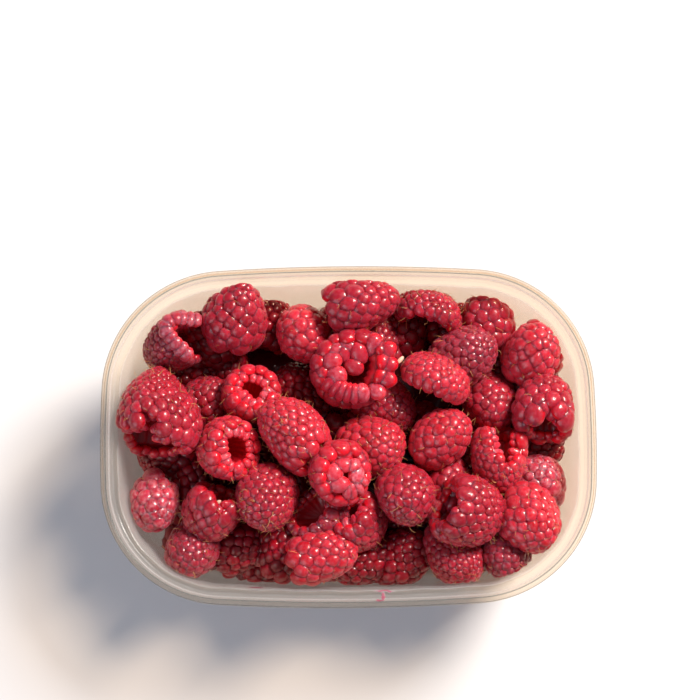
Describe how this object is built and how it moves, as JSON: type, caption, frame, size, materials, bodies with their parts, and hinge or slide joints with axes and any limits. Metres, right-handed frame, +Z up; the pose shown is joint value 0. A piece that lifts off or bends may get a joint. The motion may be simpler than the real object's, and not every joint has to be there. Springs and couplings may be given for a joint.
{
  "type": "punnet of raspberries",
  "caption": "Clear plastic punnet, a rounded rectangular tub with a stepped rim, heaped level with its rim with loose ripe raspberries.",
  "frame": {"origin": "on the ground, under the middle of the tub", "axes": "+X along the tub's long side, -Y towards its front, +Z up"},
  "size_m": [0.144, 0.0996, 0.0562],
  "materials": {
    "clear_plastic": "clear, slightly milky moulded plastic",
    "berry": "ripe raspberry, moist drupelets with fine down"
  },
  "bodies": {
    "root": {"tub": "clear_plastic", "berries": "berry"}
  },
  "joints": []
}
